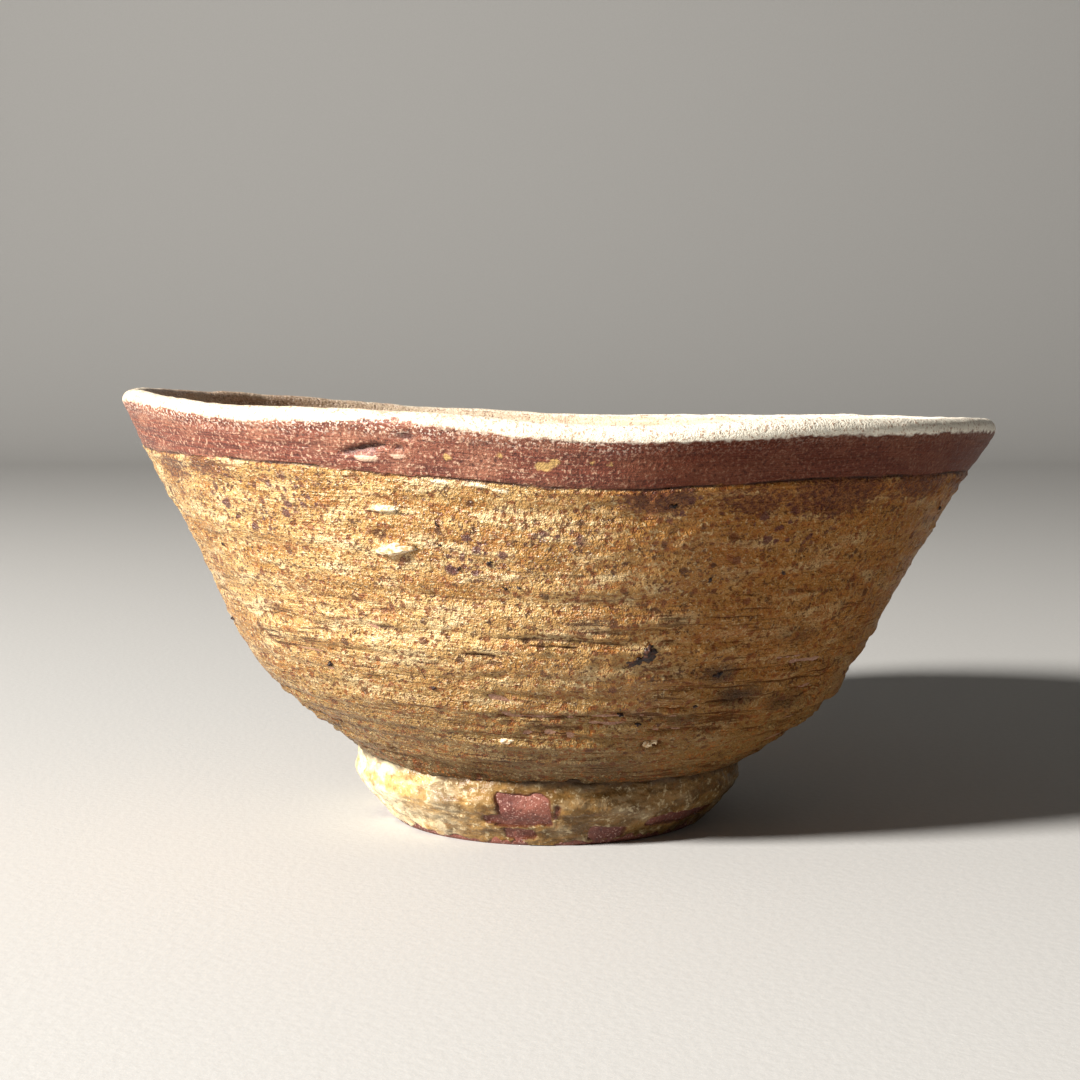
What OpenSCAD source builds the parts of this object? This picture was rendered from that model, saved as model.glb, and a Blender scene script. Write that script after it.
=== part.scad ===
// Matcha bowl: a thrown stoneware bowl on a turned foot ring, with its coats of glaze and iron slip.
// The origin is on the table under the middle of the lip, +Z is up and -Y is the bowl's front.
// The thrown bowl leans a little to the right on a foot that stands square on the table.

/* [Bowl] */
// Outside diameter at the lip
rim_d = 135.6; // [124:0.2:139]
// Height of the lip over the middle of the foot
bowl_h = 65; // [61:0.2:72]
// Angle between the straight upper wall and the bowl's axis
flare = 29; // [26:0.5:31]
// Radius of the round belly under the straight wall
belly_r = 57.5; // [56:0.5:59]
// Lean of the bowl to the right on its foot, in degrees
lean = 2.1; // [0.5:0.1:2.5]
// Height of the lowest point of the inside
well_z = 11.4; // [10.5:0.1:13]
// Thickness of the wall just under the lip, glaze included
rim_wall = 3; // [2.6:0.1:4]

/* [Foot] */
// How far the foot stands to the right of the bowl's own axis
foot_shift = 1; // [0:0.1:1.5]
// Outside diameter of the foot where it joins the bowl
foot_d = 61.5; // [58:0.5:64]
// Outside diameter of the face that rests on the table
rest_d = 49.8; // [47:0.2:51]
// Inside diameter of the foot
recess_d = 39; // [34:0.5:40]
// Depth of the recess under the bowl
recess_h = 6.8; // [6.5:0.1:7]
// Angle between the bevelled lower side of the foot and the vertical
bevel = 43.5; // [40:0.5:46]

/* [Coats] */
// Thickness of the glaze and of the iron slip on the bowl
glaze_t = 0.5; // [0.4:0.05:0.6]
// Thickness of the glaze on the foot
foot_glaze_t = 0.4; // [0.3:0.05:0.5]
// Height of the iron band outside, under the lip
outer_band_h = 5.6; // [3:0.1:10]
// Height of the iron band inside, under the lip
inner_band_h = 7; // [3:0.1:10]
// Height of the bare strip at the bottom of the foot
bare_h = 0.8; // [0.5:0.1:1.5]
// Number of iron spots scattered over the outside
scattered_spots = 12; // [6:1:18]
// Radius of the largest iron spot
spot_r = 1.1; // [0.8:0.1:1.3]
// How far the iron spots stand out of the glaze
spot_h = 0.55; // [0.5:0.05:0.7]
// Radius of the stone grains that stand out of the glaze
grain_r = 0.8; // [0.6:0.1:1]

/* [Hidden] */
$fn = 144;

// The lip is a full round between the two sides of the wall, this far from the axis and this high.
lip_r = rim_wall / 2;
lip_x = rim_d / 2 - lip_r;
lip_z = bowl_h - lip_r;
// The outside is a cone that runs tangent into a sphere round this point of the axis.
belly_z = lip_z - (lip_x * cos(flare) - belly_r + lip_r) / sin(flare);
// The inside is another such pair. Its sphere is set higher, so the wall thickens towards the foot.
inside_z = (belly_r + well_z - rim_wall - belly_z * sin(flare)) / (1 - sin(flare));
inside_r = inside_z - well_z;
// Both iron bands end at the lip's glaze, at this height, just under the lip's round.
lip_glaze_z = lip_z - lip_r * sin(flare) - 0.1;
// The leaning axis meets the table here, to the left of the lip's middle, and the foot's middle is here.
axis_x = -bowl_h * sin(lean);
foot_x = axis_x + foot_shift;
// The foot's upright side turns into the bevel round a blunt ridge of this radius.
ridge_r = 3;
// The forms that cut others run past them by this much.
past = 1;
// Round and straight stretches of an outline overlap by this much where they run into each other.
hair = 0.002;
// The bowl's forms are cut off level at this height, clear of the lip.
form_top = bowl_h + past;
// The foot's form runs up into the bowl, to this height.
foot_top = 16;

// The bare mark in the foot's glaze: its width, how far its right end is from the foot's middle, its
// height and how high up it begins.
mark_w = 8.6;
mark_right = 0.4;
mark_h = 6;
mark_z = 3.4;

// Each spot and grain: angle from the front, to the right; height; size as a share of the largest.
front_spots = [[14.3, 32.8, 1], [13.6, 54.1, 0.75], [27.5, 29.5, 0.65]];
front_grains = [[-21.4, 46.9, 1], [-21.4, 52.1, 0.6], [21.2, 18.2, 0.8]];
// A grain is this many times as long as it is wide, without its round ends.
grain_stretch = 2.2;
// The scattered spots go round the bowl at the golden angle, from this angle on. Their heights and
// sizes step through their spans by the golden ratio and by its square.
golden_angle = 137.5;
first_angle = 45;
lowest_spot_z = 20;
spot_span_z = 34;
golden_step = 0.618;
size_step = 0.382;
smallest_size = 0.55;
size_span = 0.3;

// The half outline of a form of revolution: a sphere below, and above it the cone that touches it.
// The cone is set in by a hair, so that the two meet at a clean edge just above the touching point.
module form_outline(radius, centre_z) {
    touch_x = (radius - hair) * cos(flare);
    touch_z = centre_z - (radius - hair) * sin(flare);
    top_x = touch_x + (form_top - touch_z) * tan(flare);
    intersection() {
        translate([0, centre_z])
            circle(radius);
        translate([0, centre_z - radius])
            square([radius, touch_z + past - centre_z + radius]);
    }
    polygon([[0, centre_z - radius / 2], [touch_x, touch_z], [top_x, form_top], [0, form_top]]);
}

// A strip across the bowl between two heights.
module strip(from_z, to_z) {
    translate([0, from_z])
        square([rim_d, to_z - from_z]);
}

// The section of the wall, with every side moved in by inset. It ends square to its sides at the
// lip, and the lip's round stands a hair or so out of it on both sides.
module wall_outline(inset) {
    intersection() {
        difference() {
            form_outline(belly_r - inset, belly_z);
            form_outline(inside_r + inset, inside_z);
        }
        translate([lip_x, lip_z])
            rotate(-flare)
                translate([-rim_d, -rim_d])
                    square([2 * rim_d, rim_d]);
    }
    translate([lip_x, lip_z])
        circle(lip_r - inset + 2 * hair);
}

// Sets the thrown bowl over its foot, leaning to the right.
module leaning() {
    translate([axis_x, 0, 0])
        rotate([0, lean, 0])
            children();
}

// The clay of the bowl as a solid form, which the foot is shaped against.
module clay_form() {
    leaning()
        rotate_extrude()
            form_outline(belly_r - glaze_t, belly_z);
}

// The half outline of the foot as a solid form, with its side moved in by inset.
module foot_outline(inset) {
    side_x = foot_d / 2 - inset;
    rest_x = rest_d / 2 - inset / cos(bevel);
    corner_z = (side_x - rest_x) / tan(bevel);
    cut = ridge_r * tan(bevel / 2);
    bevel_x = side_x - cut * sin(bevel);
    bevel_z = corner_z - cut * cos(bevel);
    polygon([[0, 0], [rest_x, 0], [bevel_x, bevel_z], [side_x, corner_z + cut], [side_x, foot_top],
        [0, foot_top]]);
    translate([side_x - ridge_r, corner_z + cut])
        circle(ridge_r + hair);
}

module foot_form(inset) {
    translate([foot_x, 0, 0])
        rotate_extrude()
            foot_outline(inset);
}

// A part of the foot's height, as a slab.
module foot_slab(from_z, to_z) {
    translate([foot_x, 0, from_z])
        cylinder(d = foot_d + 2 * past, h = to_z - from_z);
}

// The recess under the bowl.
module recess() {
    translate([foot_x, 0, -past])
        cylinder(d = recess_d, h = recess_h + past);
}

// Puts its children on the outside of the bowl, with +X out of the wall and +Y along it.
module on_wall(angle, height) {
    leaning()
        rotate([0, 0, angle - 90])
            translate([outside_x(height), 0, height])
                rotate([0, wall_slope(height), 0])
                    children();
}

// The outside's distance from the axis at a height of the bowl, and how far it looks down there.
touch_height = belly_z - belly_r * sin(flare);
function outside_x(height) = height < touch_height
    ? sqrt(belly_r ^ 2 - (belly_z - height) ^ 2)
    : belly_r * cos(flare) + (height - touch_height) * tan(flare);
function wall_slope(height) = height < touch_height ? asin((belly_z - height) / belly_r) : flare;

// A spot: a low round cap with its flat side on the glaze.
module cap(radius, height) {
    ball_r = (radius ^ 2 + height ^ 2) / (2 * height);
    rotate([0, 90, 0])
        rotate_extrude($fn = 72)
            intersection() {
                translate([0, height - ball_r])
                    circle(ball_r, $fn = 360);
                square([radius, height]);
            }
}

// A grain: a short bar with round ends, cut in half along its length and laid on the glaze.
module half_bar(radius, half_length) {
    intersection() {
        union() {
            rotate([90, 0, 0])
                cylinder(r = radius, h = 2 * half_length, center = true);
            for (side = [-1, 1])
                translate([0, side * half_length, 0])
                    sphere(radius);
        }
        translate([0, -half_length - radius, -radius])
            cube([radius, 2 * (half_length + radius), 2 * radius]);
    }
}

// The thrown clay of the bowl, with the recess turned into its underside.
module bowl_wall() {
    color("#8a5c49")
        difference() {
            leaning()
                rotate_extrude()
                    wall_outline(glaze_t);
            recess();
        }
}

// The ring of clay under the bowl, shaped to the bowl's underside.
module foot_ring() {
    color("#7c4f3c")
        difference() {
            union() {
                foot_form(foot_glaze_t);
                intersection() {
                    foot_form(0);
                    foot_slab(-past, bare_h);
                }
            }
            clay_form();
            recess();
        }
}

// The straw-coloured glaze outside, from the iron band down to the foot.
module outer_glaze() {
    color("#d8ab6c")
        difference() {
            leaning()
                rotate_extrude()
                    intersection() {
                        difference() {
                            form_outline(belly_r, belly_z);
                            form_outline(belly_r - glaze_t, belly_z);
                        }
                        strip(0, lip_glaze_z - outer_band_h);
                    }
            foot_form(0);
        }
}

// The band of iron slip outside, under the lip.
module outer_iron_band() {
    color("#6e3527")
        leaning()
            rotate_extrude()
                intersection() {
                    difference() {
                        form_outline(belly_r, belly_z);
                        form_outline(belly_r - glaze_t, belly_z);
                    }
                    strip(lip_glaze_z - outer_band_h, lip_glaze_z);
                }
}

// The pale glaze over the lip.
module lip_glaze() {
    color("#eadfca")
        leaning()
            rotate_extrude()
                intersection() {
                    difference() {
                        wall_outline(0);
                        wall_outline(glaze_t);
                    }
                    strip(lip_glaze_z, form_top);
                }
}

// The inside's coat between two heights.
module inside_coat(from_z, to_z) {
    leaning()
        rotate_extrude()
            intersection() {
                difference() {
                    form_outline(inside_r + glaze_t, inside_z);
                    form_outline(inside_r, inside_z);
                }
                strip(from_z, to_z);
            }
}

// The band of iron slip inside, under the lip.
module inner_iron_band() {
    color("#a5745a")
        inside_coat(lip_glaze_z - inner_band_h, lip_glaze_z);
}

// The glaze of the inside, down over the well.
module inner_glaze() {
    color("#cfa877")
        inside_coat(0, lip_glaze_z - inner_band_h);
}

// The glaze on the side of the foot, with a bare mark in front where it was held for dipping.
module foot_glaze() {
    color("#c9a26a")
        difference() {
            foot_form(0);
            foot_form(foot_glaze_t);
            foot_slab(-past, bare_h);
            clay_form();
            translate([foot_x + mark_right - mark_w, -foot_d, mark_z])
                cube([mark_w, foot_d, mark_h]);
        }
}

// The iron spots: the ones in front, and the rest spread round the bowl at the golden angle.
module iron_spots() {
    color("#2a1a15") {
        for (place = front_spots)
            on_wall(place[0], place[1])
                cap(spot_r * place[2], spot_h);
        for (i = [1:scattered_spots])
            on_wall(first_angle + i * golden_angle, lowest_spot_z + spot_span_z * (i * golden_step % 1))
                cap(spot_r * (smallest_size + size_span * (i * size_step % 1)), spot_h);
    }
}

// The grains of stone that stand out of the glaze.
module stone_grains() {
    color("#e8cfa0")
        for (place = front_grains)
            on_wall(place[0], place[1])
                half_bar(grain_r * place[2], grain_stretch * grain_r * place[2]);
}

bowl_wall();
foot_ring();
outer_glaze();
outer_iron_band();
lip_glaze();
inner_iron_band();
inner_glaze();
foot_glaze();
iron_spots();
stone_grains();
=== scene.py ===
"""Matcha bowl: the looks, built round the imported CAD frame.

Lengths are in millimetres in the bowl's own frame, upright over the middle of its foot, until place()
leans the bowl, sets it over its foot and turns the lengths into metres. An angle called turn goes round
the bowl from its front, -Y, towards +X. A distance called s runs along the skin: 0 where the outer wall
meets the lip's round, more than 0 down the outside, less than 0 over the lip and down the inside.
"""
import math

import bpy
import numpy as np
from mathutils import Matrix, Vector


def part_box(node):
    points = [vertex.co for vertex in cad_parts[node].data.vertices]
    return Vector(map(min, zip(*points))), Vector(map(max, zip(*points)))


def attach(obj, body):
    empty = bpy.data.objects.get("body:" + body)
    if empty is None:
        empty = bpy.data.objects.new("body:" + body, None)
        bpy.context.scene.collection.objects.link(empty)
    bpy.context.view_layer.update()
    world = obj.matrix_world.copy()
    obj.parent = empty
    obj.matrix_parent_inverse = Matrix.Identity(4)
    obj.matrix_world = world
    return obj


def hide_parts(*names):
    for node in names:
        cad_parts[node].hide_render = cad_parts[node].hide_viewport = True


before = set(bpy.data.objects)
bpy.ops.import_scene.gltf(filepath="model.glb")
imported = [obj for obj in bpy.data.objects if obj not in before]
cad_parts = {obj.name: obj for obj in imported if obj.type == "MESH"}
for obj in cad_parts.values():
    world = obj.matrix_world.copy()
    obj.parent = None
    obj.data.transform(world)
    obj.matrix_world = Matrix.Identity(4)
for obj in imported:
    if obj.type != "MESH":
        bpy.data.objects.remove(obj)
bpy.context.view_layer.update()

# ---- the bowl's dimensions

METRE = 1000.0
PI = math.pi
TAU = 2 * math.pi


def box_mm(node):
    """A CAD node's lowest and highest corners, in millimetres."""
    low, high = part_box(node)
    return np.array(low) * METRE, np.array(high) * METRE


lip_low, lip_high = box_mm("lip_glaze")
foot_low, foot_high = box_mm("foot_glaze")

RIM_R = (lip_high[1] - lip_low[1]) / 2  # outside radius at the lip
BOWL_H = 65.0  # lip over the table, along the bowl's own axis
LEAN = math.radians(2.1)  # the bowl leans to the right on its foot
AXIS_X = -BOWL_H * math.sin(LEAN)  # where the leaning axis meets the table
FOOT_X = (foot_low[0] + foot_high[0]) / 2  # the foot's middle
FLARE = math.radians(29)  # the straight wall's angle to the axis
BELLY_R = 57.5  # the sphere under the straight wall
WELL_H = 11.4  # the lowest point of the inside
RIM_WALL = 3.0  # the wall under the lip, glaze included
COAT = 0.5  # the glaze's thickness

LIP_R = RIM_WALL / 2
LIP_X = RIM_R - LIP_R
LIP_H = BOWL_H - LIP_R
BELLY_H = LIP_H - (LIP_X * math.cos(FLARE) - BELLY_R + LIP_R) / math.sin(FLARE)
INSIDE_H = (BELLY_R + WELL_H - RIM_WALL - BELLY_H * math.sin(FLARE)) / (1 - math.sin(FLARE))
INSIDE_R = INSIDE_H - WELL_H

FOOT_R = (foot_high[1] - foot_low[1]) / 2  # the foot's upright side, glaze included
REST_R = 24.9  # the outer edge of the face it rests on
RECESS_R = 19.5  # the recess under the foot, and the inner edge of that face
RECESS_H = 6.8
BEVEL = math.radians(43.5)  # the bevel's angle to the foot's axis
FOOT_COAT = 0.4  # the foot glaze's thickness

# Where the wall's straight stretches meet the lip's round and the two spheres.
WALL_TOP_R = LIP_X + LIP_R * math.cos(FLARE)
WALL_TOP_H = LIP_H - LIP_R * math.sin(FLARE)
INSIDE_TOP_R = LIP_X - LIP_R * math.cos(FLARE)
INSIDE_TOP_H = LIP_H + LIP_R * math.sin(FLARE)
LIP_ARC = PI * LIP_R  # the skin over the lip
LIP_MIDDLE = -LIP_ARC / 2
WALL_STRAIGHT = (WALL_TOP_H - BELLY_H + BELLY_R * math.sin(FLARE)) / math.cos(FLARE)
INSIDE_STRAIGHT = (INSIDE_TOP_H - INSIDE_H + INSIDE_R * math.sin(FLARE)) / math.cos(FLARE)
INSIDE_LENGTH = INSIDE_STRAIGHT + INSIDE_R * (PI / 2 - FLARE)

COLUMNS = 760  # steps round the bowl in every glazed skin, so that neighbours share their edges


# ---- noise

LOW_BITS = 0xFFFFFFFF
# Large odd numbers that scatter the lattice's places over all 32 bits.
PRIMES = (374761393, 668265263, 2246822519, 3266489917)


def hashed(i, j, k, seed):
    """A number from -1 to 1 for each lattice point."""
    big = np.uint64
    mask = big(LOW_BITS)
    h = big(seed * PRIMES[3])
    for axis, prime in zip((i, j, k), PRIMES):
        h = h + (axis.astype(np.int64) & LOW_BITS).astype(big) * big(prime)
    h &= mask
    h = ((h ^ (h >> big(15))) * big(PRIMES[2])) & mask
    h = ((h ^ (h >> big(13))) * big(PRIMES[3])) & mask
    h ^= h >> big(16)
    return h.astype(float) / (LOW_BITS / 2) - 1.0


def noise(x, y, z, seed):
    """Smooth noise from -1 to 1, one cell to the unit."""
    x, y, z = np.broadcast_arrays(np.asarray(x, float), np.asarray(y, float), np.asarray(z, float))
    i, j, k = np.floor(x), np.floor(y), np.floor(z)
    fx, fy, fz = x - i, y - j, z - k
    ux, uy, uz = (f * f * f * (f * (f * 6 - 15) + 10) for f in (fx, fy, fz))
    total = 0.0
    for dx in (0, 1):
        wx = ux if dx else 1 - ux
        for dy in (0, 1):
            wy = uy if dy else 1 - uy
            for dz in (0, 1):
                wz = uz if dz else 1 - uz
                total = total + wx * wy * wz * hashed(i + dx, j + dy, k + dz, seed)
    return total * 1.5


def smooth_step(x, low, high):
    """Goes smoothly from 0 to 1 as x goes from low to high."""
    t = np.clip((x - low) / (high - low), 0, 1)
    return t * t * (3 - 2 * t)


# ---- the skin's form

def wall(down, straight, top_r, top_h, sphere_r, sphere_h):
    """A straight flaring wall that runs into a sphere, as skin(), with its angle's cosine and sine."""
    slope = FLARE + np.maximum(down - straight, 0) / sphere_r
    on_cone = down < straight
    r = np.where(on_cone, top_r - down * math.sin(FLARE), sphere_r * np.cos(slope))
    h = np.where(on_cone, top_h - down * math.cos(FLARE), sphere_h - sphere_r * np.sin(slope))
    return r, h, np.cos(slope), np.sin(slope)


def skin(s):
    """The smooth skin at s: distance from the axis, height, and the outward normal's two parts."""
    s = np.asarray(s, float)
    r, h, nr, nh = wall(np.maximum(s, 0), WALL_STRAIGHT, WALL_TOP_R, WALL_TOP_H, BELLY_R, BELLY_H)
    outer = (r, h, nr, -nh)
    over = np.clip(-s, 0, LIP_ARC) / LIP_R - FLARE
    lip = (LIP_X + LIP_R * np.cos(over), LIP_H + LIP_R * np.sin(over), np.cos(over), np.sin(over))
    r, h, nr, nh = wall(np.maximum(-s - LIP_ARC, 0), INSIDE_STRAIGHT, INSIDE_TOP_R, INSIDE_TOP_H,
                        INSIDE_R, INSIDE_H)
    inner = (r, h, -nr, nh)
    return [np.where(s < -LIP_ARC, c, np.where(s < 0, b, a)) for a, b, c in zip(outer, lip, inner)]


def fleck(x, y, level, wide, tall, seed):
    """Noise of cells this wide and this tall, in millimetres."""
    return noise(x / wide, y / wide, level / tall, seed)


def round_noise(turn, wide, level, seed, radius=RIM_R):
    """Noise round a circle, one cell to wide millimetres of it, at a level of its own."""
    reach = radius / wide
    return noise(reach * np.sin(turn), reach * np.cos(turn), level, seed)


def past(turn, place_deg):
    """How far turn is past a place round the bowl, from minus to plus half a turn."""
    return (turn - math.radians(place_deg) + PI) % TAU - PI


def hill(turn, place_deg, wide_deg):
    """1 at a place round the bowl, falling smoothly to 0 on both sides of it."""
    return np.exp(-(past(turn, place_deg) / math.radians(wide_deg)) ** 2)


def hills(turn, level, *rows):
    """A level with hills on it: each row is a hill's height, its place and its width in degrees."""
    for height, place_deg, wide_deg in rows:
        level = level + height * hill(turn, place_deg, wide_deg)
    return level


def warp(turn, h):
    """How far the thrown bowl strays from a true form: outwards and upwards, in millimetres."""
    high = smooth_step(h, 12, BOWL_H)
    right = np.sin(turn)
    up = hills(turn, 0.50, (-1.45, 3, 17), (-3.2, 182, 50), (-0.95, -37, 22), (0.6, 48, 26))
    up = up * high * high + 0.14 * round_noise(turn, 12, 0.5, 12) * smooth_step(h, 50, BOWL_H)
    out = 0.3 * np.sin(2 * turn + 0.5) * high + 0.2 * np.sin(3 * turn - 1.1) * high
    out = out + 0.75 * right ** 2 * np.exp(-((h - 27) / 12) ** 2)
    # Low down the bowl is fuller on the right, and drawn in on the left just over the foot.
    out = out + 1.1 * np.clip(right, 0, 1) * smooth_step(h, 9.5, 14) * (1 - smooth_step(h, 18, 38))
    out = out - 1.2 * np.clip(-right, 0, 1) * smooth_step(h, 9.5, 13) * (1 - smooth_step(h, 14, 21))
    slow = noise(0.9 * right, 0.9 * np.cos(turn), h / 9.0, 11)
    return out + 0.3 * slow * smooth_step(h, 8, 20), up


def place(r, h, turn):
    """Points of the bowl's own frame, leaned and set over the foot, in metres."""
    x, y = r * np.sin(turn), -r * np.cos(turn)
    x, y, h = np.broadcast_arrays(x, y, h)
    return np.stack([
        (x * math.cos(LEAN) + h * math.sin(LEAN) + AXIS_X) / METRE,
        y / METRE,
        (h * math.cos(LEAN) - x * math.sin(LEAN)) / METRE,
    ], -1)


def mark(turn, s, place_deg, at_s, wide, tall):
    """A soft oval mark: 1 in its middle, 0 past its edge. wide and tall are its half sizes."""
    r = skin(at_s)[0]
    away = (past(turn, place_deg) * r / wide) ** 2 + ((s - at_s) / tall) ** 2
    return np.clip(1 - away, 0, 1) ** 1.2


def marks(turn, s, table, even=False):
    """The strongest of a table's marks, each as strong as its last number, or all 1 if even."""
    total = 0.0 * (turn + s)
    for *where, strength in table:
        total = np.maximum(total, mark(turn, s, *where) * (1 if even else strength))
    return total


def summed(turn, s, table):
    """A table's marks, each as high as its last number, added up."""
    total = 0.0 * (turn + s)
    for *where, height in table:
        total = total + height * mark(turn, s, *where)
    return total


# Each mark: its place round the bowl in degrees, s, half width, half height, depth or strength.
# DENTS and RAISED are shapes, in millimetres. The others are painted.
DENTS = [
    (-24.8, 3.9, 1.8, 0.5, 0.45), (-23.6, 3.5, 1.9, 0.55, 0.75), (-22.2, 3.1, 1.9, 0.6, 0.9),
    (-20.8, 2.7, 1.8, 0.55, 0.7), (-18.2, 2.8, 1.3, 0.45, 0.5), (-17.2, 1, 2, 0.7, 0.35),
    (-22.9, 16.3, 1.5, 1, 0.4), (21.2, 52.4, 2.6, 1.2, 0.6), (14.9, 26.7, 4, 0.4, 0.3),
    (-11, 35, 4.6, 0.45, 0.38), (-9, 36.3, 2.6, 0.4, 0.3), (-26, 31.9, 3.2, 0.4, 0.25),
    (3.7, 46.1, 5, 0.45, 0.38), (2, 48.8, 6.5, 0.45, 0.38), (31.9, 49.4, 3.5, 0.9, 0.35),
    (20.2, 38, 3, 0.4, 0.3), (17.4, 32.1, 2.2, 0.4, 0.25), (-17.6, 63.7, 1.7, 1.1, 0.9),
    (7.7, 64, 1.7, 0.9, 0.8), (36.5, 64, 3.4, 0.8, 0.9),
]
RAISED = [
    (-22.4, 4.5, 2.6, 0.6, 0.4), (-18.5, 4, 1.5, 0.5, 0.3), (-13.7, 7.3, 1.8, 0.4, 0.22),
    (-9.7, 7.5, 2.4, 0.5, 0.28), (-6.8, 7.9, 1.6, 0.4, 0.25), (-21.6, 12.1, 2.9, 0.6, 0.3),
    (-21.4, 18.3, 2.4, 0.9, 0.45),
]
GOLD = [
    (-1.7, 3.9, 1.7, 1, 1), (-0.6, 3.1, 0.9, 0.8, 0.9), (-12.7, 3.7, 0.8, 0.7, 1),
    (-6.7, 2.8, 0.7, 0.7, 0.6), (3.6, 3, 0.9, 0.6, 0.6), (5.6, 3.2, 0.9, 0.6, 0.6),
    (131, 3.6, 1.6, 0.9, 1), (-147, 3.2, 1.2, 0.8, 0.9),
]
STAINS = [
    (11.5, 8.4, 6.5, 4, 1), (24, 9.6, 9, 3.4, 0.75), (36, 8.8, 12, 5, 1), (52, 7.4, 12, 4.6, 0.9),
    (70, 7.4, 14, 3.4, 0.8), (-49, 7.8, 8, 2.6, 0.8), (-60, 8.9, 8, 3.4, 0.8), (118, 8, 16, 4.2, 0.9),
    (-128, 7.6, 14, 3.6, 0.8), (172, 7.8, 12, 3, 0.7),
]
SPECKLED = [
    (-43, 12.9, 10.5, 5.6, 1), (-34, 10.4, 7, 4, 0.5), (-10, 18.9, 8, 5.5, 0.7), (0, 14.4, 8, 3.5, 0.4),
    (14, 9.4, 5, 4, 0.6), (30, 13.4, 12, 6, 0.5), (96, 23.4, 14, 9, 0.7), (-112, 14.4, 13, 7, 1),
    (158, 31.4, 12, 9, 0.6), (-160, 21.4, 9, 7, 0.8),
]
SMUDGES = [
    (28, 37.9, 3.6, 2.2, 0.9), (33.8, 42.2, 5.4, 2.8, 1), (25, 46.6, 4, 1.6, 0.7),
    (17, 28.7, 3.4, 0.9, 0.5), (41, 31.9, 6, 2, 0.55), (46, 44.4, 6, 2.4, 0.7), (-7, 56.4, 9, 3.2, 0.45),
    (-28, 53.4, 7, 3, 0.4), (12, 57.9, 9, 3, 0.5), (104, 43.4, 8, 3.4, 0.8), (-142, 41.4, 9, 3, 0.7),
    (-96, 51.4, 9, 3.4, 0.6),
]


def band_edge(turn):
    """Where the iron band ends on the outside, as s."""
    edge = hills(turn, 6.7, (-0.6, -40, 17), (0.2, 0, 8), (0.1, 13, 9), (0.6, -66, 14))
    edge = edge + 0.3 * np.sin(3 * turn + 2)
    return edge + 0.25 * round_noise(turn, 20, 3.5, 21) + 0.16 * round_noise(turn, 6, 1.5, 22)


def lip_edge(turn):
    """Where the lip's pale glaze gives way to the iron on the outside, as s."""
    edge = hills(turn, -0.30, (-0.7, -20, 9), (-0.6, -50, 18), (0.35, 18, 26))
    edge = edge + 0.22 * round_noise(turn, 24, 7.5, 23) + 0.18 * round_noise(turn, 3.5, 2.5, 24)
    return edge - 0.6 * hill(turn, -18, 3)


def inner_lip_edge(turn):
    """Where the lip's pale glaze gives way to the iron on the inside, as s."""
    return -LIP_ARC + 0.5 + 1.3 * hill(turn, -122, 24) + 0.3 * round_noise(turn, 16, 4.5, 25)


def inner_band_edge(turn):
    """Where the iron band ends on the inside, as s."""
    return -LIP_ARC - 7.6 + 0.5 * round_noise(turn, 21, 6.5, 26) + 0.2 * round_noise(turn, 4, 3.5, 27)


def dents(turn, s):
    """The outside's larger dents, which the clay under the glaze shares."""
    return -summed(turn, s, DENTS)


def skin_place(turn, s):
    """Where a point of the smooth skin is, in the bowl's own frame."""
    r, h, _, _ = skin(s)
    return r * np.sin(turn), -r * np.cos(turn), h


def thrown_level(turn, s):
    """s along the wavering, nearly level lines that throwing left."""
    x, y, h = skin_place(turn, s)
    return s + 0.8 * np.sin(turn + 0.9) + 0.6 * fleck(x, y, h, 25, 25, 30)


def grooves(turn, s):
    """How deep the dry drag lines are cut, 0 to 1: long, thin and nearly level."""
    x, y, _ = skin_place(turn, s)
    level = thrown_level(turn, s)
    lines = fleck(x, y, level, 8.5, 0.62, 33)
    patches = fleck(x, y, s, 16, 6.5, 34)
    low = 0.25 + 0.75 * smooth_step(s, 19, 34)
    return np.clip(-lines - 0.18, 0, 0.5) * 2 * np.clip(patches + 0.30, 0, 1) * low


def outside_relief(turn, s):
    """The outside's throwing rings, drag lines and grit, in millimetres out of the skin."""
    x, y, h = skin_place(turn, s)
    level = thrown_level(turn, s)
    edge = band_edge(turn)
    glazed = smooth_step(s, edge - 0.3, edge + 0.5)
    low = 0.5 + 0.5 * smooth_step(s, 18, 36)
    rings = 0.27 * fleck(x, y, level, 45, 2.9, 31) + 0.17 * fleck(x, y, level, 22, 1.3, 32)
    grit = 0.10 * fleck(x, y, h, 1.6, 1.0, 35) + 0.10 * fleck(x, y, h, 1.0, 0.8, 36)
    rough = 0.75 + 0.6 * fleck(x, y, h, 9, 5, 37).clip(-0.6, 1)
    brushed = 0.05 * fleck(x, y, s, 12, 0.55, 38) + 0.03 * fleck(x, y, h, 1.2, 1.2, 39)
    out = glazed * (low * (rings - 0.42 * grooves(turn, s)) + rough * grit) + (1 - glazed) * brushed
    # The glaze ends in a low roll with a fine line above it.
    out = out + 0.12 * np.exp(-((s - edge - 0.5) / 0.35) ** 2)
    out = out - 0.16 * np.exp(-((s - edge) / 0.24) ** 2)
    return np.clip(out + summed(turn, s, RAISED) + dents(turn, s), -1.0, 0.6)


def inside_relief(turn, s):
    """The inside's softer throwing rings and grit."""
    x, y, h = skin_place(turn, s)
    depth = -s - LIP_ARC
    pitch = 6.5
    spiral = np.sin((depth + pitch * turn / TAU) * TAU / pitch)
    uneven = noise(x / 40, y / 40, (depth + np.sin(turn)) / 3.1, 41)
    rings = (0.13 * spiral + 0.12 * uneven) * smooth_step(skin(s)[0], 1.5, 9) * smooth_step(depth, 2, 14)
    return rings + 0.06 * fleck(x, y, h, 1.6, 1.6, 42) + 0.05 * fleck(x, y, h, 0.9, 0.9, 43)


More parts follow.
